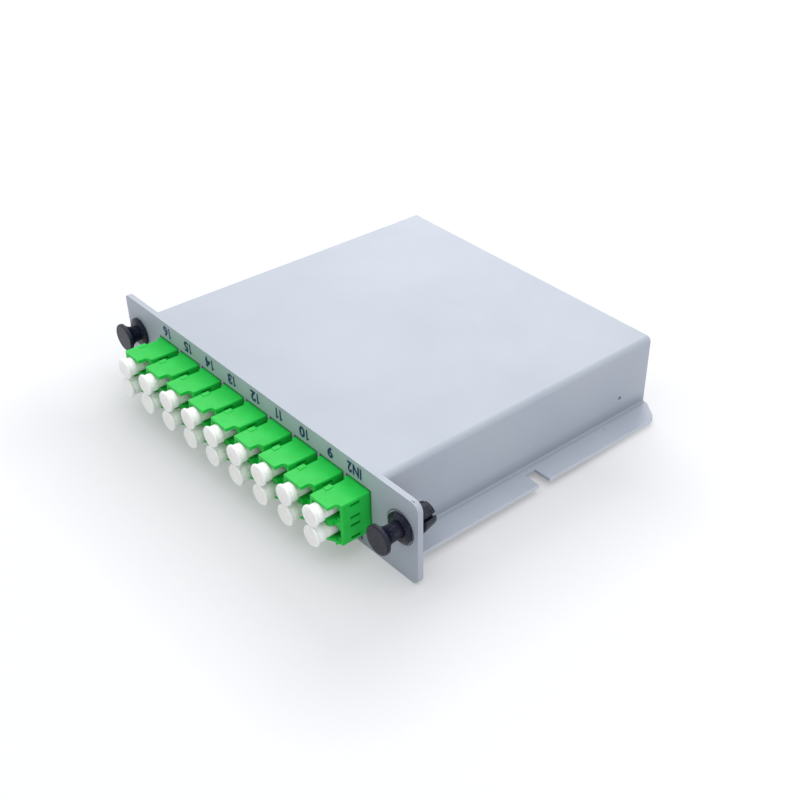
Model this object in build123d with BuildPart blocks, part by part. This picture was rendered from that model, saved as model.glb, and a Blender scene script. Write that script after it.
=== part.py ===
from build123d import *
import os

# Rack-mount fibre splitter box, lying on its lid side.
# X runs along the front plate, Y runs into the box and Z points up.
# The origin is midway between the two latch axes, on the rear face of the front plate.

# Front plate
plate_height = 25.0
plate_thickness = 1.6
plate_corner_left = 1.2
plate_corner_right = 2.5
plate_end = 6.0
latch_height = 15.2
latch_from_wall = 7.9

# Folded sheet of the tray and the lid
sheet = 1.0
bend_inside = 0.6
tray_side_room = 3.0
tray_depth = 97.1
lip_width = 8.0
lip_height = 2.4
lid_side_gap = 0.1
lid_flange_height = 9.0
lid_flange_front = 16.0
lid_relief = 2.5

# Notch and cut corner of the lips
notch_width = 4.0
notch_from_front = 47.9
notch_from_wall = 2.5
lip_cut_x = 6.4
lip_cut_y = 4.4
lip_cut_radius = 4.0
pin_hole_radius = 0.55
pin_hole_from_rear = 11.0
pin_hole_above_lip = 5.8

# Angle that ties the tray to the plate
angle_gap = 0.8
angle_depth = 8.0
angle_inset = 1.5

# Standoffs and lid screws
standoff_radius = 2.3
standoff_inset = 4.0
standoff_behind_boots = 11.8
standoff_rear = 5.5
screw_radius = 1.2
screw_length = 7.0
screw_head_radius = 2.1
screw_head_height = 1.3
screw_slot_width = 0.6
thread_gap = 0.05
screw_hole_gap = 0.3

# Row of duplex adapters
adapter_count = 9
adapter_gap = 0.5
adapter_width = 8.6
adapter_height = 12.6
adapter_reach = 11.5
adapter_cutout_gap = 0.25
adapter_edge_radius = 0.45
flange_rim = 0.8
flange_thickness = 1.2
rear_reach = 11.0
ear_setback = 2.9
ear_wall = 0.8
ear_notch_width = 1.65
ear_notch_radius = 1.1
rib_width = 1.1
rib_length = 1.6
lever_slot_height = 2.5
corner_recess_width = 0.8
corner_recess_height = 0.85
corner_recess_length = 5.3
nub_length = 0.7
nub_gap = 0.6

# Ports of one adapter
port_spacing = 6.25
port_width = 4.6
port_height = 4.5
port_offset = -0.9
port_lead_in = 0.55
web_setback = 1.2
web_step = 1.4
window_length = 2.9
window_height = 0.8
window_spread = 3.74
window_from_plate = 3.2
holder_radius = 1.4
holder_length = 5.7
ferrule_radius = 0.625
ferrule_gap = 0.03

# Dust cap
cap_disc_gap = 0.25
cap_disc_thickness = 0.8
cap_disc_dish = 0.25
cap_head_length = 3.0
cap_neck_radius = 2.3
cap_neck_from_front = 1.1
cap_barrel_radius = 2.55
cap_barrel_from_front = 1.6
cap_seat_gap = 0.1
cap_stem_gap = 0.1
cap_stem_depth = 6.5
cap_stem_tip = 0.5
cap_core_gap = 0.1
cap_core_depth = 4.0

# Push-pull latch
latch_hole_radius = 3.4
latch_hole_gap = 0.05
collar_radius = 4.3
collar_foot = 0.3
collar_rim = 0.8
collar_height = 1.4
collar_crown_radius = 3.3
panel_allowance = 2.2
barb_radius = 3.9
barb_land = 0.5
barrel_end_radius = 3.1
barrel_length = 6.8
leg_slot_width = 0.9
leg_slot_start = 1.2
leg_slot_turn = 25.0
plunger_radius = 2.3
plunger_gap = 0.05
plunger_head_radius = 4.1
plunger_head_rim = 1.0
plunger_reach = 6.3
plunger_pressed = 1.9
plunger_flare = 3.4
plunger_tip_chamfer = 0.6

# Inner plugs
plug_body_length = 19.0
plug_port_gap = 0.15
plug_engaged = 9.0
plug_latch_length = 11.0
plug_latch_height = 1.6
plug_latch_width = 2.2
boot_front_radius = 1.9
boot_rear_radius = 0.95
boot_length = 12.0
ferrule_tip_gap = 0.1
plug_bore_gap = 0.1

# Splitters, fibres and their clips
splitter_length = 50.0
splitter_width = 7.0
splitter_thickness = 4.0
splitter_from_clips = 4.2
splitter_edge_radius = 0.8
fibre_radius = 0.45
lead_straight = 3.0
lead_turn_radius = 14.0
coil_width = 8.0
coil_height = 5.0
coil_side_gap = 6.0
coil_rear_gap = 3.2
coil_corner_radius = 16.0
clip_wall = 0.8
clip_width = 5.0
clip_gap = 0.1
clip_spread = 15.0
drop_run = 4.0
drop_radius = 5.0

# Places worked out from the sizes above
adapter_pitch = adapter_width + 2 * flange_rim + adapter_gap
row_width = (adapter_count - 1) * adapter_pitch + adapter_width
tray_width = row_width + 2 * (tray_side_room + sheet)
latch_spacing = tray_width + 2 * latch_from_wall
plate_width = latch_spacing + 2 * plate_end
bend_outside = bend_inside + sheet
plate_bottom = -latch_height
plate_top = plate_bottom + plate_height
plate_front = -plate_thickness
row_z = plate_bottom + plate_height / 2
tray_top = plate_top
tray_inside = tray_top - sheet
wall_x = tray_width / 2
lip_bottom = plate_bottom + lip_height
lip_top = lip_bottom + sheet
lip_x = wall_x + lip_width
lid_x = wall_x - sheet - lid_side_gap
adapter_front = plate_front - adapter_reach
adapter_rear = flange_thickness + rear_reach
holder_rear = flange_thickness + holder_length
port_inner_x = adapter_width / 2 - ear_wall
port_left_x = port_offset - port_width / 2
port_right_x = port_offset + port_width / 2
inner_height = port_spacing + port_height
sides = (-1, 1)
rows = {"upper": port_spacing / 2, "lower": -port_spacing / 2}
plug_front = adapter_rear - plug_engaged
plug_rear = plug_front + plug_body_length
boot_end = plug_rear + boot_length
standoff_front = boot_end + standoff_behind_boots

os.makedirs("parts", exist_ok=True)


def front_plane(y):
    """Plane across the box at depth y, with its normal towards the front."""
    return Plane(origin=(0, y, 0), x_dir=(1, 0, 0), z_dir=(0, -1, 0))


def save(piece, name):
    """Name a finished piece and write it to its file."""
    piece.part.label = name
    export_step(piece.part, f"parts/{name}.step")


def adapter_x(index):
    """Middle of an adapter, counted from the left."""
    return (index - (adapter_count - 1) / 2) * adapter_pitch


# Tray: one sheet folded to a hat section, with a lip along each side
with BuildPart() as tray:
    with BuildSketch(front_plane(0)) as hat:
        with BuildLine():
            Polyline(
                (lip_x, lip_bottom),
                (lip_x, lip_top),
                (wall_x, lip_top),
                (wall_x, tray_top),
                (-wall_x, tray_top),
                (-wall_x, lip_top),
                (-lip_x, lip_top),
                (-lip_x, lip_bottom),
                (sheet - wall_x, lip_bottom),
                (sheet - wall_x, tray_inside),
                (wall_x - sheet, tray_inside),
                (wall_x - sheet, lip_bottom),
                close=True,
            )
        make_face()
        inner = hat.vertices().filter_by(
            lambda v: (abs(abs(v.X) - wall_x) < 0.01 and abs(v.Y - lip_top) < 0.01)
            or abs(v.Y - tray_inside) < 0.01
        )
        fillet(inner, bend_inside)
        outer = hat.vertices().filter_by(
            lambda v: (abs(abs(v.X) - wall_x + sheet) < 0.01 and abs(v.Y - lip_bottom) < 0.01)
            or abs(v.Y - tray_top) < 0.01
        )
        fillet(outer, bend_outside)
    extrude(amount=-tray_depth)
    with BuildSketch(Plane.XY.offset(lip_bottom)):
        notch_inner = wall_x + notch_from_wall
        notch_middle = (notch_inner + lip_x + sheet) / 2
        with Locations((notch_middle, notch_from_front), (-notch_middle, notch_from_front)):
            Rectangle(lip_x + sheet - notch_inner, notch_width)
        for side in sides:
            with BuildLine():
                Polyline(
                    (side * lip_x, tray_depth - lip_cut_y),
                    (side * (lip_x - lip_cut_x), tray_depth),
                    (side * lip_x, tray_depth),
                    close=True,
                )
            make_face()
    extrude(amount=sheet, mode=Mode.SUBTRACT)
    cut_corners = tray.edges().filter_by(Axis.Z).filter_by(
        lambda e: abs(abs(e.center().X) - lip_x) < 0.01
        and abs(e.center().Y - tray_depth + lip_cut_y) < 0.01
    )
    fillet(cut_corners, lip_cut_radius)
    with BuildSketch(Plane.YZ.offset(-tray_width)):
        with Locations((tray_depth - pin_hole_from_rear, lip_top + pin_hole_above_lip)):
            Circle(pin_hole_radius)
    extrude(amount=2 * tray_width, mode=Mode.SUBTRACT)
save(tray, "tray")

# Front plate: flat sheet with nine adapter cut-outs and two latch holes
with BuildPart() as front_plate:
    with BuildSketch(front_plane(0)) as face:
        with Locations((0, row_z)):
            Rectangle(plate_width, plate_height)
            left_corners = face.vertices().group_by(Axis.X)[0]
            fillet(left_corners, plate_corner_left)
            right_corners = face.vertices().group_by(Axis.X)[-1]
            fillet(right_corners, plate_corner_right)
            with GridLocations(adapter_pitch, 0, adapter_count, 1):
                Rectangle(
                    adapter_width + 2 * adapter_cutout_gap,
                    adapter_height + 2 * adapter_cutout_gap,
                    mode=Mode.SUBTRACT,
                )
        with GridLocations(latch_spacing, 0, 2, 1):
            Circle(latch_hole_radius, mode=Mode.SUBTRACT)
    extrude(amount=plate_thickness)
save(front_plate, "front_plate")

# Lid: base sheet with two side flanges and the rear wall folded up
with BuildPart() as lid:
    with BuildSketch(front_plane(0)) as pan:
        with BuildLine():
            Polyline(
                (-lid_x, lip_top + lid_flange_height),
                (-lid_x, lip_bottom),
                (lid_x, lip_bottom),
                (lid_x, lip_top + lid_flange_height),
                (lid_x - sheet, lip_top + lid_flange_height),
                (lid_x - sheet, lip_top),
                (sheet - lid_x, lip_top),
                (sheet - lid_x, lip_top + lid_flange_height),
                close=True,
            )
        make_face()
        fillet(pan.vertices().filter_by(lambda v: abs(v.Y - lip_top) < 0.01), bend_inside)
        fillet(pan.vertices().filter_by(lambda v: abs(v.Y - lip_bottom) < 0.01), bend_outside)
    extrude(amount=-(tray_depth - lid_relief))
    with BuildSketch(Plane.YZ) as back:
        with BuildLine():
            Polyline(
                (tray_depth - lid_relief, lip_bottom),
                (tray_depth, lip_bottom),
                (tray_depth, tray_inside - lid_side_gap),
                (tray_depth - sheet, tray_inside - lid_side_gap),
                (tray_depth - sheet, lip_top),
                (tray_depth - lid_relief, lip_top),
                close=True,
            )
        make_face()
        corner_in = back.vertices().filter_by(
            lambda v: abs(v.Y - lip_top) < 0.01 and abs(v.X - tray_depth + sheet) < 0.01
        )
        fillet(corner_in, bend_inside)
        corner_out = back.vertices().filter_by(
            lambda v: abs(v.Y - lip_bottom) < 0.01 and abs(v.X - tray_depth) < 0.01
        )
        fillet(corner_out, bend_outside)
    extrude(amount=lid_x - bend_outside, both=True)
    with BuildSketch(Plane.XY.offset(lip_top + bend_inside)):
        with Locations((0, lid_flange_front / 2)):
            Rectangle(tray_width, lid_flange_front)
    extrude(amount=lid_flange_height, mode=Mode.SUBTRACT)
    with BuildSketch(Plane.XY.offset(lip_bottom)):
        for y in (standoff_front, tray_depth - standoff_rear):
            with Locations((0, y)):
                with GridLocations(2 * (lid_x - standoff_inset), 0, 2, 1):
                    Circle(screw_radius + screw_hole_gap)
    extrude(amount=sheet, mode=Mode.SUBTRACT)
save(lid, "lid")

# Angle welded in the corner between the tray and the plate
angle_bottom = row_z + adapter_height / 2 + flange_rim + angle_gap
with BuildPart() as plate_angle:
    with BuildSketch(Plane.YZ) as leg:
        with BuildLine():
            Polyline(
                (0, tray_inside),
                (angle_depth, tray_inside),
                (angle_depth, tray_inside - sheet),
                (sheet, tray_inside - sheet),
                (sheet, angle_bottom),
                (0, angle_bottom),
                close=True,
            )
        make_face()
        elbow = leg.vertices().filter_by(
            lambda v: abs(v.X - sheet) < 0.01 and abs(v.Y - tray_inside + sheet) < 0.01
        )
        fillet(elbow, bend_inside)
    extrude(amount=wall_x - sheet - angle_inset, both=True)
save(plate_angle, "plate_angle")

# Standoffs that carry the lid, and the screws that hold it
standoff_places = [
    (side * (lid_x - standoff_inset), y)
    for y in (standoff_front, tray_depth - standoff_rear)
    for side in sides
]
with BuildPart() as standoffs:
    with BuildSketch(Plane.XY.offset(lip_top)):
        with Locations(*standoff_places):
            Circle(standoff_radius)
    extrude(amount=tray_inside - lip_top)
    with BuildSketch(Plane.XY.offset(lip_top)):
        with Locations(*standoff_places):
            Circle(screw_radius + thread_gap)
    extrude(amount=screw_length + sheet, mode=Mode.SUBTRACT)
save(standoffs, "standoffs")

with BuildPart() as lid_screws:
    with BuildSketch(Plane.XY.offset(lip_bottom - screw_head_height)):
        with Locations(*standoff_places):
            Circle(screw_head_radius)
    extrude(amount=screw_head_height)
    with BuildSketch(Plane.XY.offset(lip_bottom)):
        with Locations(*standoff_places):
            Circle(screw_radius)
    extrude(amount=screw_length)
    with BuildSketch(Plane.XY.offset(lip_bottom - screw_head_height)):
        with Locations(*standoff_places):
            Rectangle(screw_head_radius * 1.3, screw_slot_width)
            Rectangle(screw_slot_width, screw_head_radius * 1.3)
    extrude(amount=screw_head_height / 2, mode=Mode.SUBTRACT)
save(lid_screws, "lid_screws")


def make_adapter(number, middle):
    """Moulded duplex housing with two ports side by side along Z, on both ends."""
    left = middle - adapter_width / 2
    right = middle + adapter_width / 2
    bottom = row_z - adapter_height / 2
    top = row_z + adapter_height / 2
    port_middle = middle + port_offset
    cavity_middle = middle + (port_left_x + port_inner_x) / 2
    cavity_width = port_inner_x - port_left_x
    with BuildPart() as housing:
        # The right front corner of the housing is scooped out around the latch levers
        scoop = right - ear_notch_width
        ear_front = adapter_front + ear_setback
        wall = (adapter_height - inner_height) / 2
        with BuildSketch(Plane.XY.offset(bottom)) as outline:
            with BuildLine():
                Polyline(
                    (right, ear_front),
                    (right, 0),
                    (left, 0),
                    (left, adapter_front),
                    (scoop, adapter_front),
                    (scoop, ear_front),
                    close=True,
                )
            make_face()
            scoop_corner = outline.vertices().filter_by(
                lambda v: abs(v.X - scoop) < 0.01 and abs(v.Y - ear_front) < 0.01
            )
            fillet(scoop_corner, ear_notch_radius)
        extrude(amount=adapter_height)
        long_edges = housing.edges().filter_by(Axis.Y).group_by(Axis.X)[-1]
        ear_edge = housing.edges().filter_by(Axis.Z).group_by(Axis.X)[-1].sort_by(Axis.Y)[0]
        fillet([*long_edges, ear_edge], adapter_edge_radius)
        with BuildSketch(front_plane(flange_thickness)):
            with Locations((middle, row_z)):
                Rectangle(adapter_width + 2 * flange_rim, adapter_height + 2 * flange_rim)
        extrude(amount=flange_thickness)
        with BuildSketch(front_plane(adapter_rear)):
            with Locations((middle, row_z)):
                Rectangle(adapter_width, adapter_height)
        extrude(amount=rear_reach)

        # Front and rear cavities, each with room for the latch lever on the right
        for near, far in ((adapter_front, 0), (flange_thickness, adapter_rear)):
            with BuildSketch(front_plane(far)):
                for lift in rows.values():
                    with Locations((cavity_middle, row_z + lift)):
                        Rectangle(cavity_width, port_height)
            extrude(amount=far - near, mode=Mode.SUBTRACT)

        # Ribs along the inner side of the right wall leave a slot for each latch lever
        rib_middle = middle + port_inner_x - rib_width / 2
        for near in (ear_front, adapter_rear - rib_length):
            with BuildSketch(front_plane(near + rib_length)):
                with Locations((rib_middle, row_z)):
                    Rectangle(rib_width, inner_height)
                for lift in rows.values():
                    with Locations((rib_middle, row_z + lift)):
                        Rectangle(rib_width, lever_slot_height, mode=Mode.SUBTRACT)
            extrude(amount=rib_length)

        # Web between the ports stands back from the mouth, further on the latch side
        with BuildSketch(Plane.XY.offset(row_z - port_spacing / 2)):
            with BuildLine():
                Polyline(
                    (middle + port_left_x, adapter_front),
                    (middle + port_inner_x, adapter_front),
                    (middle + port_inner_x, adapter_front + web_setback + web_step),
                    (middle + port_right_x, adapter_front + web_setback + web_step),
                    (middle + port_right_x, adapter_front + web_setback),
                    (middle + port_left_x, adapter_front + web_setback),
                    close=True,
                )
            make_face()
        extrude(amount=port_spacing, mode=Mode.SUBTRACT)
        mouth = housing.edges().filter_by(Axis.Z).filter_by(
            lambda e: abs(e.center().X - middle - port_left_x) < 0.01
            and abs(e.center().Y - adapter_front) < 0.01
        )
        chamfer(mouth, port_lead_in)

        # Front edge of the lower wall runs back from the left wall to the scoop
        with BuildSketch(Plane.XY.offset(bottom)):
            with BuildLine():
                Polyline(
                    (middle + port_left_x, adapter_front),
                    (scoop, adapter_front),
                    (scoop, ear_front),
                    close=True,
                )
            make_face()
        extrude(amount=wall, mode=Mode.SUBTRACT)

        # Windows for the ears of the latch levers
        window_y = plate_front - window_from_plate - window_length / 2
        with BuildSketch(Plane.YZ.offset(right - 2 * ear_wall)):
            for lift in rows.values():
                for spread in sides:
                    with Locations((window_y, row_z + lift + spread * window_spread / 2)):
                        Rectangle(window_length, window_height)
        extrude(amount=3 * ear_wall, mode=Mode.SUBTRACT)

        # Recess along the two left corners, which leaves the snap nubs at the plate
        recess_front = plate_front - corner_recess_length
        nub_front = plate_front - nub_gap - nub_length
        for low in (bottom, top - corner_recess_height):
            with BuildSketch(Plane.XY.offset(low)):
                with BuildLine():
                    Polyline(
                        (left, recess_front),
                        (left + corner_recess_width, recess_front),
                        (left + corner_recess_width, nub_front),
                        (left, nub_front),
                        close=True,
                    )
                make_face()
            extrude(amount=corner_recess_height, mode=Mode.SUBTRACT)

        # Holders of the alignment sleeves, with the ferrule bore through the middle wall
        with BuildSketch(front_plane(flange_thickness + holder_length)):
            for lift in rows.values():
                with Locations((port_middle, row_z + lift)):
                    Circle(holder_radius)
        extrude(amount=flange_thickness + 2 * holder_length)
        with BuildSketch(front_plane(flange_thickness + holder_length)):
            for lift in rows.values():
                with Locations((port_middle, row_z + lift)):
                    Circle(ferrule_radius + ferrule_gap)
        extrude(amount=flange_thickness + 2 * holder_length, mode=Mode.SUBTRACT)
    save(housing, f"adapter_{number}")


def make_cap(name, x, z):
    """Dust cap: dished disc, neck and barrel outside, round stem in the port."""
    front = adapter_front - cap_head_length
    seat = adapter_front - cap_seat_gap
    stem_radius = min(port_width, port_height) / 2 - cap_stem_gap
    disc_radius = (port_spacing - cap_disc_gap) / 2
    core_radius = holder_radius + cap_core_gap
    tip = adapter_front + cap_stem_depth
    with BuildPart() as cap:
        with BuildSketch(Plane(origin=(x, 0, z), x_dir=(1, 0, 0), z_dir=(0, 0, 1))):
            with BuildLine():
                Polyline(
                    (0, front + cap_disc_dish),
                    (disc_radius * 0.75, front + cap_disc_dish * 0.6),
                    (disc_radius * 0.93, front),
                    (disc_radius, front + cap_disc_thickness / 3),
                    (disc_radius, front + cap_disc_thickness * 0.8),
                    (cap_neck_radius, front + cap_neck_from_front),
                    (cap_barrel_radius, front + cap_barrel_from_front),
                    (cap_barrel_radius, seat),
                    (stem_radius, seat),
                    (stem_radius, tip - cap_stem_tip),
                    (stem_radius - cap_stem_tip, tip),
                    (core_radius, tip),
                    (core_radius, tip - cap_core_depth),
                    (0, tip - cap_core_depth),
                    close=True,
                )
            make_face()
        revolve(axis=Axis((x, 0, z), (0, 1, 0)))
    save(cap, name)


def make_plug(name, x, z):
    """Plug of one fibre inside the box: body, latch lever, ferrule and boot."""
    body_width = port_width - 2 * plug_port_gap
    body_height = port_height - 2 * plug_port_gap
    latch_x = x + body_width / 2
    with BuildPart() as plug:
        with BuildSketch(front_plane(plug_rear)):
            with Locations((x, z)):
                Rectangle(body_width, body_height)
        extrude(amount=plug_body_length)
        with BuildSketch(front_plane(plug_front)):
            with Locations((x, z)):
                Circle(holder_radius + plug_bore_gap)
        extrude(amount=plug_front - holder_rear - plug_bore_gap, mode=Mode.SUBTRACT)
        with BuildSketch(front_plane(plug_rear)):
            with Locations((x, z)):
                Circle(ferrule_radius)
        extrude(amount=plug_rear - flange_thickness / 2 - ferrule_tip_gap)
        with BuildSketch(Plane.XY.offset(z - plug_latch_width / 2)):
            with BuildLine():
                Polyline(
                    (latch_x, plug_front + plug_latch_height),
                    (latch_x + plug_latch_height, plug_front + plug_latch_length),
                    (latch_x + plug_latch_height / 2, plug_front + plug_latch_length),
                    (latch_x, plug_front + 2 * plug_latch_height),
                    close=True,
                )
            make_face()
        extrude(amount=plug_latch_width)
        with BuildSketch(front_plane(plug_rear)):
            with Locations((x, z)):
                Circle(boot_front_radius)
        with BuildSketch(front_plane(boot_end)):
            with Locations((x, z)):
                Circle(boot_rear_radius)
        loft()
    save(plug, name)


# Adapters are numbered from the input end, at the right
for index in range(adapter_count):
    number = adapter_count - index
    make_adapter(number, adapter_x(index))
    for row, lift in rows.items():
        port_x = adapter_x(index) + port_offset
        make_cap(f"dust_cap_{row}_{number}", port_x, row_z + lift)
        make_plug(f"inner_plug_{row}_{number}", port_x, row_z + lift)


def make_latch(side_name, x, reach):
    """Split grommet through the plate's ear, and the plunger that spreads its legs."""
    axis = Axis((x, 0, 0), (0, 1, 0))
    section = Plane(origin=(x, 0, 0), x_dir=(1, 0, 0), z_dir=(0, 0, 1))
    bore = plunger_radius + plunger_gap
    shank = latch_hole_radius - latch_hole_gap
    with BuildPart() as grommet:
        with BuildSketch(section):
            with BuildLine():
                Polyline(
                    (bore, plate_front - collar_height),
                    (collar_crown_radius, plate_front - collar_height),
                    (collar_radius, plate_front - collar_rim),
                    (collar_radius, plate_front - collar_foot),
                    (collar_radius - collar_foot, plate_front),
                    (shank, plate_front),
                    (shank, panel_allowance),
                    (barb_radius, panel_allowance + barb_land),
                    (barb_radius, panel_allowance + 2 * barb_land),
                    (barrel_end_radius, barrel_length),
                    (bore, barrel_length),
                    close=True,
                )
            make_face()
        revolve(axis=axis)
        with BuildSketch(front_plane(barrel_length)):
            with Locations((x, 0)):
                Rectangle(4 * barb_radius, leg_slot_width, rotation=leg_slot_turn)
                Rectangle(4 * barb_radius, leg_slot_width, rotation=leg_slot_turn + 90)
        extrude(amount=barrel_length - leg_slot_start, mode=Mode.SUBTRACT)
    save(grommet, f"latch_grommet_{side_name}")

    head_front = plate_front - collar_height - reach
    tip = barrel_length + plunger_reach - reach
    with BuildPart() as plunger:
        with BuildSketch(section):
            with BuildLine():
                Polyline((0, head_front), (plunger_head_radius - 0.4, head_front))
                ThreePointArc(
                    (plunger_head_radius - 0.4, head_front),
                    (plunger_head_radius - 0.12, head_front + 0.12),
                    (plunger_head_radius, head_front + 0.4),
                )
                Line(
                    (plunger_head_radius, head_front + 0.4),
                    (plunger_head_radius, head_front + plunger_head_rim),
                )
                Spline(
                    (plunger_head_radius, head_front + plunger_head_rim),
                    (plunger_radius, head_front + plunger_head_rim + plunger_flare),
                    tangents=[(-1, 0.6), (0, 1)],
                )
                Polyline(
                    (plunger_radius, head_front + plunger_head_rim + plunger_flare),
                    (plunger_radius, tip - plunger_tip_chamfer),
                    (plunger_radius - plunger_tip_chamfer, tip),
                    (0, tip),
                    (0, head_front),
                )
            make_face()
        revolve(axis=axis)
    save(plunger, f"latch_plunger_{side_name}")


# The left plunger rests pushed in a little further than the right one
make_latch("left", -latch_spacing / 2, plunger_reach - plunger_pressed)
make_latch("right", latch_spacing / 2, plunger_reach)

# Slack coils fill the room between the plugs and the rear wall of the lid
lead_turn_y = boot_end + lead_straight + lead_turn_radius
coil_front = lead_turn_y - coil_width / 2
coil_rear = tray_depth - sheet - coil_rear_gap
coil_depth = coil_rear - coil_front
coil_middle = (coil_front + coil_rear) / 2
coil_length = 2 * (lid_x - sheet - coil_side_gap)
coil_corner = min(coil_corner_radius, coil_depth / 2.2)

# Splitters: two steel tubes stacked under the top of the tray, upper row first
splitter_y = coil_middle - splitter_from_clips
splitter_z = {
    "upper": tray_inside - splitter_thickness / 2,
    "lower": tray_inside - splitter_thickness * 3 / 2,
}
for row, z in splitter_z.items():
    with BuildPart() as splitter:
        with BuildSketch(Plane.YZ.offset(-splitter_length / 2)) as tube:
            with Locations((splitter_y, z)):
                Rectangle(splitter_width, splitter_thickness)
            fillet(tube.vertices(), splitter_edge_radius)
        extrude(amount=splitter_length)
    save(splitter, f"splitter_{row}")


def make_harness(row, lift):
    """Slack coil of one row's fibres, with a lead to each plug and two to the splitter."""
    level = row_z + lift
    with BuildPart() as harness:
        with BuildSketch(Plane.XY.offset(level - coil_height / 2)):
            with Locations((0, coil_middle)):
                RectangleRounded(coil_length, coil_depth, coil_corner)
                RectangleRounded(
                    coil_length - 2 * coil_width,
                    coil_depth - 2 * coil_width,
                    coil_corner - coil_width,
                    mode=Mode.SUBTRACT,
                )
        extrude(amount=coil_height)
        for index in range(adapter_count):
            x = adapter_x(index) + port_offset
            way = -1 if x > 0 else 1
            start = (x, boot_end, level)
            with BuildLine() as lead:
                FilletPolyline(
                    start,
                    (x, lead_turn_y, level),
                    (x + way * (lead_turn_radius + lead_straight), lead_turn_y, level),
                    radius=lead_turn_radius,
                )
            with BuildSketch(Plane(origin=lead.line @ 0, z_dir=lead.line % 0)):
                Circle(fibre_radius)
            sweep()
        for side in sides:
            z = splitter_z[row]
            end_x = side * splitter_length / 2
            run_x = side * (coil_length - coil_width) / 2
            start = (end_x, splitter_y, z)
            with BuildLine() as drop:
                FilletPolyline(
                    start,
                    (end_x + side * drop_run, splitter_y, z),
                    (run_x - side * drop_run, splitter_y, level),
                    (run_x, splitter_y, level),
                    radius=[drop_radius, drop_radius / 2],
                )
            with BuildSketch(Plane(origin=drop.line @ 0, z_dir=drop.line % 0)):
                Circle(fibre_radius)
            sweep()
    save(harness, f"fibre_harness_{row}")


for row, lift in rows.items():
    make_harness(row, lift)

# Clips that hold both coils under the tray, two at the side runs and two at the rear run
clip_low = row_z - port_spacing / 2 - coil_height / 2 - clip_gap
clip_high = row_z + port_spacing / 2 + coil_height / 2 + clip_gap
clip_span = coil_width + 2 * clip_gap
with BuildPart() as fibre_clips:
    for side in sides:
        side_run = side * (coil_length - coil_width) / 2
        rear_run = coil_middle + (coil_depth - coil_width) / 2
        for plane, across in (
            (front_plane(coil_middle + clip_width / 2), side_run),
            (Plane.YZ.offset(side * clip_spread - clip_width / 2), rear_run),
        ):
            with BuildSketch(plane):
                with Locations((across, (tray_inside + clip_low - clip_wall) / 2)):
                    Rectangle(clip_span + 2 * clip_wall, tray_inside - clip_low + clip_wall)
                with Locations((across, (clip_low + clip_high) / 2)):
                    Rectangle(clip_span, clip_high - clip_low, mode=Mode.SUBTRACT)
            extrude(amount=clip_width)
save(fibre_clips, "fibre_clips")
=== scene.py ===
import math

import bpy
from mathutils import Matrix, Vector


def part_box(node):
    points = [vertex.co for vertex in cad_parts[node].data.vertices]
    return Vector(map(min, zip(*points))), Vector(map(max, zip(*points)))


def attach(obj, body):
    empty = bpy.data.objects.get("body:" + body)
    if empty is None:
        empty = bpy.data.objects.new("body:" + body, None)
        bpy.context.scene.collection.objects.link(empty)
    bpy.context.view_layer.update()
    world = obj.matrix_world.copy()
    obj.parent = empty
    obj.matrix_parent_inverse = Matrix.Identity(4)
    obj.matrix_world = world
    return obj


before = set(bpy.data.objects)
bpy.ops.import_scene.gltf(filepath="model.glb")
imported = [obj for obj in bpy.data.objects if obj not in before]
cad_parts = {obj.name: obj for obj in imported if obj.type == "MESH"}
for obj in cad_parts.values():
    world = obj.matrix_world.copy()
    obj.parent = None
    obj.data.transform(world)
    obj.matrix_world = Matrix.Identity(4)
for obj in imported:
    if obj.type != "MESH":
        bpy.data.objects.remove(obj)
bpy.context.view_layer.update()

scene = bpy.context.scene
mm = 0.001

# Camera of the photograph, in the frame of the part
camera_place = Vector((230.31, -143.44, 188.07)) * mm
camera_aim = Vector((55.87, 26.39, 0.0)) * mm
camera_roll = math.radians(1.90)
camera_lens = 54.88
camera_sensor = 36.0
camera_shift = (-0.0981, 0.0921)
camera_near = 10 * mm

# Floor that the front plate and the rear lid screws stand on
plate_low, plate_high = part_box("front_plate")
screws_low, screws_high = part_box("lid_screws")
floor_tilt = math.atan2(screws_low.z - plate_low.z, screws_high.y - plate_low.y)
floor_size = 6.0


def facing(place, aim):
    """Matrix of a camera or lamp at place that looks at aim."""
    turn = (aim - place).to_track_quat("-Z", "Y").to_matrix().to_4x4()
    return Matrix.Translation(place) @ turn


def make_camera():
    """Camera at the photograph's angle, for a frame of 800 by 800."""
    data = bpy.data.cameras.new("camera")
    data.lens = camera_lens
    data.sensor_width = camera_sensor
    data.shift_x, data.shift_y = camera_shift
    data.clip_start = camera_near
    camera = bpy.data.objects.new("camera", data)
    roll = Matrix.Rotation(camera_roll, 4, "Z")
    camera.matrix_world = facing(camera_place, camera_aim) @ roll
    scene.collection.objects.link(camera)
    scene.camera = camera


make_camera()


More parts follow.
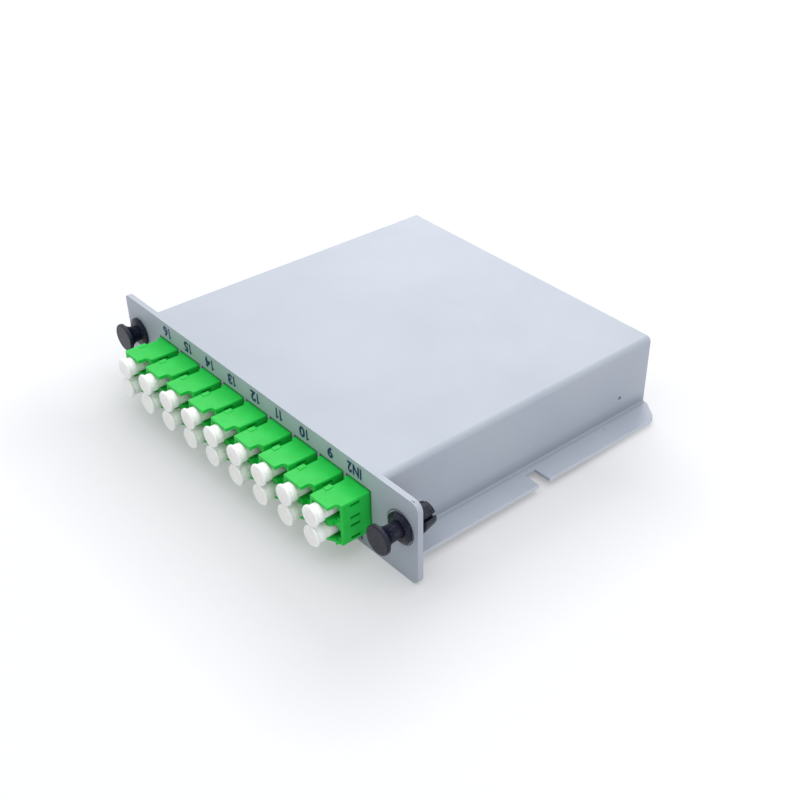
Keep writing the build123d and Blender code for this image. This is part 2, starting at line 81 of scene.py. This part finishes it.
class Nodes:
    """Short way to add and link the nodes of a material or the world."""

    def __init__(self, owner, output="ShaderNodeOutputMaterial"):
        self.owner = owner
        owner.use_nodes = True
        self.tree = owner.node_tree
        self.tree.nodes.clear()
        self.output = self.add(output)

    def put(self, node, socket, value):
        """Link the value to the socket if it is another node's output, or else set it."""
        if isinstance(value, bpy.types.NodeSocket):
            self.tree.links.new(value, node.inputs[socket])
        else:
            node.inputs[socket].default_value = value

    def add(self, kind, values=None, **settings):
        """New node with its settings and the values of its inputs."""
        node = self.tree.nodes.new(kind)
        for key, value in settings.items():
            setattr(node, key, value)
        for socket, value in (values or {}).items():
            self.put(node, socket, value)
        return node

    def number(self, operation, *values):
        """Result of an operation on numbers."""
        values = dict(enumerate(values))
        return self.add("ShaderNodeMath", values, operation=operation).outputs["Value"]

    def vector(self, operation, *values):
        """Result of an operation on vectors, which is a number for LENGTH."""
        node = self.add("ShaderNodeVectorMath", dict(enumerate(values)), operation=operation)
        return node.outputs["Value" if operation == "LENGTH" else "Vector"]

    def place(self):
        """Position in the frame of the part, in metres."""
        return self.add("ShaderNodeTexCoord").outputs["Object"]

    def axes(self):
        """Position in the frame of the part, as outputs X, Y and Z."""
        return self.add("ShaderNodeSeparateXYZ", {"Vector": self.place()}).outputs

    def across_plate(self, x, z):
        """Vector with x along the plate and z up it."""
        return self.add("ShaderNodeCombineXYZ", {"X": x, "Z": z}).outputs["Vector"]

    def from_nearest(self, value, middle, pitch):
        """Offset of value from the nearest of a row of middles, one pitch apart."""
        wrapped = self.number("WRAP", value, middle + pitch / 2, middle - pitch / 2)
        return self.number("SUBTRACT", wrapped, middle)

    def distance(self, point, middle, half):
        """Distance of point from middle, where half is 1 along each axis."""
        moved = self.vector("SUBTRACT", point, middle)
        return self.vector("LENGTH", self.vector("DIVIDE", moved, half))

    def noise(self, size, detail=2.0, roughness=0.5, vector=None):
        """Noise whose features are about size across."""
        values = {"Scale": 1 / size, "Detail": detail, "Roughness": roughness}
        values["Vector"] = vector or self.place()
        return self.add("ShaderNodeTexNoise", values).outputs["Fac"]

    def span(self, value, low, high, start=0.0, end=1.0):
        """Map value from start..end to low..high, clamped."""
        values = {"Value": value, "From Min": start, "From Max": end, "To Min": low, "To Max": high}
        return self.add("ShaderNodeMapRange", values).outputs["Result"]

    def cloud(self, size, detail=3.0, start=0.35, end=0.65):
        """0 to 1 in soft patches about size across, from noise between start and end."""
        return self.span(self.noise(size, detail), 0.0, 1.0, start, end)

    def patches(self, limits, size, detail=2.0):
        """Values between the two limits, changing over about size."""
        return self.span(self.noise(size, detail), *limits)

    def blend(self, factor, first, second):
        """Colour between first and second."""
        node = self.add("ShaderNodeMix", data_type="RGBA")
        for socket, value in ((0, factor), (6, first), (7, second)):
            self.put(node, socket, value)
        return node.outputs[2]

    def bump(self, height, distance, strength, normal=None, invert=False):
        """Relief of height times distance, on top of an earlier normal if one is given."""
        values = {"Height": height, "Distance": distance, "Strength": strength}
        if normal is not None:
            values["Normal"] = normal
        return self.add("ShaderNodeBump", values, invert=invert).outputs["Normal"]

    def background_rays(self):
        """1 for rays that show the background: from the camera, reflected or through glass."""
        path = self.add("ShaderNodeLightPath").outputs
        seen = self.number("MAXIMUM", path["Is Camera Ray"], path["Is Glossy Ray"])
        return self.number("MAXIMUM", seen, path["Is Transmission Ray"])

    def surface(self, shader):
        """Link the shader to the output, and return the material or world."""
        self.tree.links.new(shader.outputs[0], self.output.inputs["Surface"])
        return self.owner

    def finish(self, colour, rough, normal=None, more=None):
        """Principled surface, with more naming its other inputs."""
        values = {"Base Color": colour, "Roughness": rough, **(more or {})}
        if normal is not None:
            values["Normal"] = normal
        return self.surface(self.add("ShaderNodeBsdfPrincipled", values))


def new_material(name):
    """Nodes of a new material."""
    return Nodes(bpy.data.materials.new(name))


def linear(red, green, blue):
    """Colour given as 0 to 255 display values, in the linear form that shaders take."""
    def channel(value):
        value = value / 255
        return value / 12.92 if value <= 0.04045 else ((value + 0.055) / 1.055) ** 2.4
    return (channel(red), channel(green), channel(blue), 1.0)


# Small chips in the paint: place and half size, in millimetres in the frame of the part
paint_chips = [
    ((62.9, -1.05, 9.8), (0.55, 0.17, 0.4)),
    ((62.3, -1.3, 9.8), (0.28, 0.13, 0.4)),
    ((53.25, 77.9, -11.8), (0.20, 0.30, 0.3)),
]
chip_solid = 1.2
chip_end = 1.5


def chip_mask(n, ragged):
    """1 on each chip of the paint, 0 elsewhere, with ragged edges."""
    total = 0.0
    for place, half in paint_chips:
        reach = n.distance(n.place(), Vector(place) * mm, Vector(half) * mm)
        inside = n.span(n.number("ADD", reach, ragged), 1.0, 0.0, chip_solid, chip_end)
        total = n.number("MAXIMUM", total, inside)
    return total


# Painted shade round each adapter where it meets the plate, a thin dark line. An adapter's box
# holds its hidden flange, which stands out by flange_rim all round
first_low, first_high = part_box("adapter_1")
second_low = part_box("adapter_2")[0]
adapter_pitch = abs(first_low.x - second_low.x)
row_half = max(abs(first_low.x), abs(first_high.x))
flange_rim = 0.8 * mm
joint_shade_inner = 0.40 * mm
joint_shade_width = 0.65 * mm
joint_shade_depth = 0.25 * mm


def joint_shade_mask(n, place, across):
    """Mask of the painted shade on the plate's front beside an adapter: 1 there, fading to 0 a
    little way off.
    """
    middle_x = (first_low.x + first_high.x) / 2
    middle_z = (first_low.z + first_high.z) / 2
    half_x = (first_high.x - first_low.x) / 2 - flange_rim
    half_z = (first_high.z - first_low.z) / 2 - flange_rim
    offset_x = n.from_nearest(place["X"], middle_x, adapter_pitch)
    offset_z = n.number("SUBTRACT", place["Z"], middle_z)
    reach_x = n.number("SUBTRACT", n.number("ABSOLUTE", offset_x), half_x)
    reach_z = n.number("SUBTRACT", n.number("ABSOLUTE", offset_z), half_z)
    reach = n.number("MAXIMUM", reach_x, reach_z)
    beside = n.span(reach, 1.0, 0.0, joint_shade_inner, joint_shade_width)
    front = n.span(place["Y"], 1.0, 0.0, plate_low.y, plate_low.y + joint_shade_depth)
    inside = n.span(across, 1.0, 0.0, row_half, row_half + joint_shade_width)
    return n.number("MULTIPLY", n.number("MULTIPLY", beside, front), inside)


# Painted shade in the bend at the foot of the side walls, kept behind the plate's rear face at y =
# 0
crease_shade_middle = (51.3 * mm, 0.0, -11.5 * mm)
crease_shade_half = (1.4 * mm, 1.0, 4.0 * mm)
crease_shade_depth = 0.50
crease_shade_solid = 0.20
behind_start = 0.1 * mm
behind_end = 0.3 * mm

# Painted highlight on the outer edges of the lips
lip_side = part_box("tray")[1].x
lip_highlight_start = 0.20 * mm
lip_highlight_end = 0.04 * mm


def behind_plate(n, place, mask):
    """The mask, kept to what lies behind the plate."""
    behind = n.span(place["Y"], 0.0, 1.0, behind_start, behind_end)
    return n.number("MULTIPLY", mask, behind)


def crease_shade_mask(n, place, across):
    """Painted shade in the bend between side wall and lip, fading out slowly up the wall."""
    reach = n.distance(n.across_plate(across, place["Z"]), crease_shade_middle, crease_shade_half)
    return behind_plate(n, place, n.span(reach, crease_shade_depth, 0.0, crease_shade_solid, 1.0))


def lip_edge_highlight_mask(n, place, across):
    """1 where a highlight is painted on the outer edges of the lips."""
    edge = n.span(across, 0.0, 1.0, lip_side - lip_highlight_start, lip_side - lip_highlight_end)
    return behind_plate(n, place, edge)


# Share of the darker tone where the grain of the paint is strongest
grain_share = 0.10


def painted_sheet():
    """Light grey powder coat: faint orange peel, fine grain, slow cloudiness and a few chips, with
    painted shade in the bends and round the adapters and a painted highlight on the lip edges.
    """
    n = new_material("painted_sheet")
    grain = n.cloud(0.22 * mm, detail=2.0, start=0.3, end=0.7)
    chips = chip_mask(n, n.noise(0.2 * mm))
    place = n.axes()
    across = n.number("ABSOLUTE", place["X"])
    coat = n.blend(n.cloud(25 * mm), linear(169, 176, 188), linear(174, 181, 192))
    grained = n.blend(n.span(grain, 0.0, grain_share), coat, linear(156, 163, 176))
    # Painted shade in the bends at the foot of the side walls
    crease_shaded = n.blend(crease_shade_mask(n, place, across), grained, linear(128, 136, 150))
    # Painted highlight on the outer edges of the lips
    edge_highlighted = n.blend(lip_edge_highlight_mask(n, place, across), crease_shaded, linear(192, 198, 208))
    # Painted shade round the adapters on the plate's front
    joint_shaded = n.blend(joint_shade_mask(n, place, across), edge_highlighted, linear(44, 70, 54))
    worn = n.blend(chips, joint_shaded, linear(84, 90, 100))
    peel = n.bump(n.noise(1.1 * mm), distance=0.04 * mm, strength=0.35)
    fine = n.bump(grain, distance=0.008 * mm, strength=0.5, normal=peel)
    dented = n.bump(chips, distance=0.06 * mm, strength=0.8, normal=fine, invert=True)
    rough = n.patches((0.40, 0.50), size=6 * mm, detail=3.0)
    return n.finish(worn, rough, dented, {"IOR": 1.5})


def adapter_green():
    """Bright green moulded housing with a fine spark-eroded skin."""
    n = new_material("adapter_green")
    colour = n.blend(n.cloud(4 * mm), linear(22, 192, 66), linear(30, 200, 76))
    grain = n.noise(0.18 * mm, detail=3.0, roughness=0.6)
    skin = n.bump(grain, distance=0.012 * mm, strength=0.6)
    rough = n.patches((0.34, 0.46), size=1.6 * mm)
    return n.finish(colour, rough, skin, {
        "Specular IOR Level": 0.3,
        "Subsurface Weight": 0.15,
        "Subsurface Radius": (0.3, 1.0, 0.4),
        "Subsurface Scale": 0.8 * mm,
    })


# Grid of the caps, and the shares of their radius where the dish ends and the rim starts
cap_low, cap_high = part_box("dust_cap_lower_9")
cap_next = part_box("dust_cap_lower_8")[0]
cap_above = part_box("dust_cap_upper_9")[0]
cap_radius = (cap_high.x - cap_low.x) / 2
dish_end = 0.70
rim_start = 0.84


def cap_reach(n):
    """Distance of a point from the axis of its own cap."""
    place = n.axes()
    middle = (cap_low + cap_high) / 2
    offset_x = n.from_nearest(place["X"], middle.x, cap_next.x - cap_low.x)
    offset_z = n.from_nearest(place["Z"], middle.z, cap_above.z - cap_low.z)
    return n.vector("LENGTH", n.across_plate(offset_x, offset_z))


def cap_white():
    """Milky soft plastic of the dust caps, a little darker in the dish than in the rim."""
    n = new_material("cap_white")
    cloud = n.cloud(3 * mm, detail=2.0)
    rim = n.blend(cloud, linear(252, 249, 246), linear(254, 252, 250))
    dish = n.blend(cloud, linear(245, 240, 236), linear(249, 245, 242))
    outer = n.span(cap_reach(n), 0.0, 1.0, cap_radius * dish_end, cap_radius * rim_start)
    skin = n.bump(n.noise(0.4 * mm), distance=0.01 * mm, strength=0.5)
    rough = n.patches((0.36, 0.5), size=1.0 * mm)
    return n.finish(n.blend(outer, dish, rim), rough, skin, {
        "Subsurface Weight": 1.0,
        "Subsurface Radius": (1.0, 1.0, 1.0),
        "Subsurface Scale": 1.8 * mm,
    })


# Noise between which a speck of dust fades in
dust_start = 0.665
dust_end = 0.70


def black_nylon():
    """Near-black nylon of the latches, satin with a few specks of dust."""
    n = new_material("black_nylon")
    cloud = n.cloud(3 * mm, start=0.3, end=0.7)
    clean = n.blend(cloud, linear(9, 13, 29), linear(17, 23, 43))
    dust = n.span(n.noise(0.35 * mm, roughness=0.7), 0.0, 1.0, dust_start, dust_end)
    dusty = n.blend(dust, clean, linear(130, 134, 144))
    grain = n.noise(0.3 * mm, detail=3.0, roughness=0.6)
    skin = n.bump(grain, distance=0.015 * mm, strength=0.7)
    rough = n.patches((0.28, 0.44), size=0.9 * mm, detail=3.0)
    return n.finish(dusty, rough, skin, {"Specular IOR Level": 0.30})


def plain_plastic(name, light, dark, rough):
    """Moulded plastic between two close colours."""
    n = new_material(name)
    colour = n.blend(n.cloud(3 * mm), dark, light)
    skin = n.bump(n.noise(0.3 * mm), distance=0.01 * mm, strength=0.5)
    return n.finish(colour, n.patches(rough, size=1.2 * mm), skin)


def plain_metal(name, light, dark, rough, stretch):
    """Drawn or plated metal, its marks stretched along one axis."""
    n = new_material(name)
    mapping = n.add("ShaderNodeMapping", {"Vector": n.place(), "Scale": stretch})
    marks = n.noise(0.4 * mm, 3.0, 0.6, mapping.outputs["Vector"])
    lines = n.span(marks, 0.0, 1.0, start=0.3, end=0.7)
    colour = n.blend(lines, dark, light)
    relief = n.bump(lines, distance=0.01 * mm, strength=0.4)
    return n.finish(colour, n.span(lines, *rough), relief, {"Metallic": 1.0})


def thin_layer(name, first, second, size, rough):
    """Thin uneven layer on the paint, without relief."""
    n = new_material(name)
    colour = n.blend(n.cloud(size), first, second)
    return n.finish(colour, n.patches(rough, size / 2))


materials = {
    "painted_sheet": painted_sheet(),
    "adapter_green": adapter_green(),
    "cap_white": cap_white(),
    "black_nylon": black_nylon(),
    "plug_green": plain_plastic(
        "plug_green", linear(40, 160, 78), linear(34, 150, 70), rough=(0.35, 0.5)
    ),
    "splitter_steel": plain_metal(
        "splitter_steel", (0.72, 0.72, 0.73, 1), (0.6, 0.6, 0.62, 1),
        rough=(0.28, 0.42), stretch=(0.05, 1, 1)
    ),
    "zinc_steel": plain_metal(
        "zinc_steel", (0.74, 0.74, 0.76, 1), (0.62, 0.63, 0.66, 1),
        rough=(0.3, 0.45), stretch=(1, 1, 1)
    ),
    "fibre_jacket": plain_plastic(
        "fibre_jacket", linear(236, 234, 226), linear(226, 224, 214), rough=(0.4, 0.55)
    ),
    "clip_nylon": plain_plastic(
        "clip_nylon", linear(222, 221, 214), linear(212, 210, 202), rough=(0.4, 0.55)
    ),
}
ink = thin_layer(
    "label_ink", linear(8, 28, 84), linear(16, 38, 100), size=0.8 * mm, rough=(0.45, 0.6)
)
ring_colour = thin_layer(
    "ring_mark", linear(58, 62, 70), linear(92, 98, 108), size=0.6 * mm, rough=(0.5, 0.65)
)

# Material slot of the CAD nodes whose names start so; the others are painted sheet
slot_starts = {
    "adapter_": "adapter_green",
    "dust_cap_": "cap_white",
    "latch_": "black_nylon",
    "inner_plug_": "plug_green",
    "splitter_": "splitter_steel",
    "fibre_harness_": "fibre_jacket",
    "fibre_clips": "clip_nylon",
    "standoffs": "zinc_steel",
    "lid_screws": "zinc_steel",
    "plate_angle": "zinc_steel",
}

# Rounding of the edges that the camera sees
edge_round = {
    "painted_sheet": 0.12 * mm,
    "adapter_green": 0.12 * mm,
    "cap_white": 0.1 * mm,
    "black_nylon": 0.15 * mm,
}
round_segments = 2
round_from_angle = math.radians(50)
sharp_from_angle = math.radians(35)


def slot_of(name):
    """Material slot of a CAD node, from its name."""
    for start, slot in slot_starts.items():
        if name.startswith(start):
            return slot
    return "painted_sheet"


def round_edges(piece, width):
    """Bevel on a piece, returned for more settings."""
    bevel = piece.modifiers.new("edges", "BEVEL")
    bevel.width = width
    bevel.segments = round_segments
    return bevel


def dress_nodes():
    """Give each CAD node its material, smooth shading and slightly rounded edges."""
    for name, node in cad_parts.items():
        slot = slot_of(name)
        node.data.materials.clear()
        node.data.materials.append(materials[slot])
        node.data.polygons.foreach_set("use_smooth", [True] * len(node.data.polygons))
        node.data.set_sharp_from_angle(angle=sharp_from_angle)
        if slot in edge_round:
            bevel = round_edges(node, edge_round[slot])
            bevel.limit_method = "ANGLE"
            bevel.angle_limit = round_from_angle
            bevel.harden_normals = True


dress_nodes()


def add_mesh(name, points, faces, material):
    """Mesh object in the frame of the part."""
    mesh = bpy.data.meshes.new(name)
    mesh.from_pydata(points, [], faces)
    mesh.materials.append(material)
    added = bpy.data.objects.new(name, mesh)
    scene.collection.objects.link(added)
    return added


def add_piece(name, points, faces, material):
    """Mesh piece that rides the box."""
    piece = add_mesh(name, points, faces, material)
    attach(piece, "box")
    return piece


# Printed port numbers, upside down because the box lies on its lid
label_height = 3.3 * mm
label_relief = 0.03 * mm
label_offset_x = -0.3 * mm
label_offset_wide = -1.4 * mm
label_from_middle = 9.6 * mm
label_bold = 0.042
label_steps = 6
number_spread = 1.08
number_gap = 0.52 * mm
word_spread = 0.80
word_gap = 0.30 * mm

# Figure one, 1 high: stem with a flag at its top left
figure_one = [
    (0.15, 0.0), (0.32, 0.0), (0.32, 1.0), (0.21, 1.0),
    (0.14, 0.88), (0.0, 0.81), (0.0, 0.68), (0.15, 0.77),
]


def font_mesh(character):
    """Points and faces of one character in the built-in font, made bolder."""
    curve = bpy.data.curves.new("glyph", "FONT")
    curve.body = character
    curve.resolution_u = label_steps
    curve.offset = label_bold
    holder = bpy.data.objects.new("glyph", curve)
    scene.collection.objects.link(holder)
    bpy.context.view_layer.update()
    drawn = holder.evaluated_get(bpy.context.evaluated_depsgraph_get())
    mesh = bpy.data.meshes.new_from_object(drawn)
    bpy.data.objects.remove(holder)
    points = [(vertex.co.x, vertex.co.y) for vertex in mesh.vertices]
    return points, [tuple(face.vertices) for face in mesh.polygons]


def glyph(character):
    """Points and faces of one character, 1 high, with its lower left corner at the origin."""
    if character == "1":
        points, faces = figure_one, [tuple(range(len(figure_one)))]
    else:
        points, faces = font_mesh(character)
    left = min(x for x, y in points)
    low = min(y for x, y in points)
    height = max(y for x, y in points) - low
    return [((x - left) / height, (y - low) / height) for x, y in points], faces


def make_label(text, x, z, row):
    """One printed number on the front of the plate, laid out around x and z."""
    spread, gap = (number_spread, number_gap) if text.isdigit() else (word_spread, word_gap)
    points = []
    faces = []
    reach = 0.0
    for character in text:
        drawn, outline = glyph(character)
        start = len(points)
        points += [(reach + u * label_height * spread, v * label_height) for u, v in drawn]
        faces += [tuple(start + index for index in face) for face in outline]
        reach = max(u for u, v in points) + gap
    right = x + (reach - gap) / 2
    top = z + label_height / 2
    y = plate_low.y - label_relief
    placed = [(right - u, y, top - v) for u, v in points]
    add_piece(f"label_{row}_{text}", placed, faces, ink)


def make_labels():
    """Rows 16 to 9 with the second input above, 8 to 1 with the first input below."""
    adapters = sorted(
        (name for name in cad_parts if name.startswith("adapter_")),
        key=lambda name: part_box(name)[0].x,
    )
    numbered = len(adapters) - 1
    middle_z = (plate_low.z + plate_high.z) / 2
    for index, name in enumerate(adapters):
        low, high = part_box(name)
        is_input = index == numbered
        x = (low.x + high.x) / 2 + (label_offset_wide if is_input else label_offset_x)
        upper = "IN2" if is_input else str(2 * numbered - index)
        lower = "IN1" if is_input else str(numbered - index)
        make_label(upper, x, middle_z + label_from_middle, "upper")
        make_label(lower, x, middle_z - label_from_middle, "lower")


make_labels()

# Low pads of the snap lugs, on the upper and lower face of each housing
pad_width = 1.5 * mm
pad_front = 3.9 * mm
pad_length = 2.3 * mm
pad_height = 0.16 * mm
pad_faces = [(0, 3, 2, 1), (4, 5, 6, 7), (0, 1, 5, 4), (1, 2, 6, 5), (2, 3, 7, 6), (3, 0, 4, 7)]


def make_pads():
    """Pad in front of each corner recess of the adapters."""
    green = "adapter_green"
    for name in sorted(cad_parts):
        if not name.startswith("adapter_"):
            continue
        low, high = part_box(name)
        left = low.x + flange_rim
        right = left + pad_width
        front = low.y + pad_front
        rear = front + pad_length
        outline = ((left, front), (right, front), (right, rear), (left, rear))
        for row, face_z in (("upper", high.z - flange_rim), ("lower", low.z + flange_rim)):
            heights = (face_z - pad_height, face_z + pad_height)
            points = [(x, y, z) for z in heights for x, y in outline]
            pad = add_piece(f"pad_{row}_{name}", points, pad_faces, materials[green])
            round_edges(pad, pad_height / 2)


make_pads()

# Thin dark ring on the front of the plate round the right latch
ring_radius = 4.75 * mm
ring_line = 0.13 * mm
ring_shift = Vector((-0.45, 0, -0.35)) * mm
ring_relief = 0.01 * mm
ring_steps = 96


def make_ring():
    """Thin ring on the front of the plate, a little off the latch axis."""
    low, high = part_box("latch_grommet_right")
    centre = (low + high) / 2 + ring_shift
    centre.y = plate_low.y - ring_relief
    points = []
    for step in range(ring_steps):
        turn = 2 * math.pi * step / ring_steps
        outward = Vector((math.cos(turn), 0, math.sin(turn)))
        points.append(centre + outward * (ring_radius - ring_line))
        points.append(centre + outward * (ring_radius + ring_line))
    count = len(points)
    faces = [(i, i + 1, (i + 3) % count, (i + 2) % count) for i in range(0, count, 2)]
    add_piece("collar_mark", points, faces, ring_colour)


make_ring()

# Patch of floor under the part, in the frame of the floor, where the shadow is kept
patch_middle = (0.010, 0.020, 0.0)
patch_half = (0.059, 0.046, 1.0)

# Glow of the floor for the rays that show it: it rises just off the patch, and again far away
glow_on_patch = 0.29
glow_beside = 0.44
glow_beside_at = 0.03
glow_far = 0.8
glow_far_start = 0.25
glow_far_end = 1.1
white = (1.0, 1.0, 1.0, 1.0)


def make_floor():
    """Pale floor that keeps the soft shadow and turns white away from the part."""
    n = new_material("floor")
    from_middle = n.vector("ABSOLUTE", n.vector("SUBTRACT", n.place(), patch_middle))
    outside = n.vector("SUBTRACT", from_middle, patch_half)
    reach = n.vector("LENGTH", n.vector("MAXIMUM", outside, (0.0, 0.0, 0.0)))
    near = n.span(reach, glow_on_patch, glow_beside, 0.0, glow_beside_at)
    far = n.span(reach, 0.0, glow_far, glow_far_start, glow_far_end)
    shown = n.background_rays()
    strength = n.number("MULTIPLY", shown, n.number("ADD", near, far))
    tone = n.blend(shown, linear(220, 220, 222), linear(180, 180, 183))
    base = n.add("ShaderNodeBsdfDiffuse", {"Color": tone})
    glow = n.add("ShaderNodeEmission", {"Color": white, "Strength": strength})
    both = n.add("ShaderNodeAddShader", {0: base.outputs["BSDF"], 1: glow.outputs["Emission"]})
    material = n.surface(both)

    half = floor_size / 2
    points = [(-half, -half, 0), (half, -half, 0), (half, half, 0), (-half, half, 0)]
    floor = add_mesh("floor", points, [(0, 1, 2, 3)], material)
    tilt = Matrix.Rotation(floor_tilt, 4, "X")
    floor.matrix_world = Matrix.Translation((0, plate_low.y, plate_low.z)) @ tilt


# Sky that lights the part from all sides
sky_colour = (0.94, 0.97, 1.0, 1.0)
sky_strength = 0.56

# Soft square lamps: place, side, power and colour
lamp_aim = Vector((0.0, 0.05, 0.0))
lamps = {
    "overhead": (Vector((-0.10, 0.05, 0.85)), 1.4, 7.7, (1.0, 0.99, 0.98)),
    "sheen": (Vector((-0.70, 0.72, 0.46)), 0.6, 2.8, (1.0, 1.0, 1.0)),
    "right": (Vector((0.78, 0.0, 0.42)), 0.6, 1.45, (0.98, 0.98, 1.0)),
}


def make_world():
    """Dim even sky, white where the background shows."""
    scene.world = bpy.data.worlds.new("world")
    n = Nodes(scene.world, "ShaderNodeOutputWorld")
    sky = n.add("ShaderNodeBackground", {"Color": sky_colour, "Strength": sky_strength})
    shown = n.add("ShaderNodeBackground", {"Color": white, "Strength": 1.0})
    values = {0: n.background_rays(), 1: sky.outputs["Background"], 2: shown.outputs["Background"]}
    n.surface(n.add("ShaderNodeMixShader", values))


def make_lamps():
    """Area lamps of the table above, all turned to the middle of the part."""
    for name, (place, side, power, colour) in lamps.items():
        data = bpy.data.lights.new(name, "AREA")
        data.shape = "SQUARE"
        data.size = side
        data.energy = power
        data.color = colour
        lamp = bpy.data.objects.new(name, data)
        lamp.matrix_world = facing(place, lamp_aim)
        scene.collection.objects.link(lamp)


scene.view_settings.view_transform = "Standard"
make_floor()
make_world()
make_lamps()
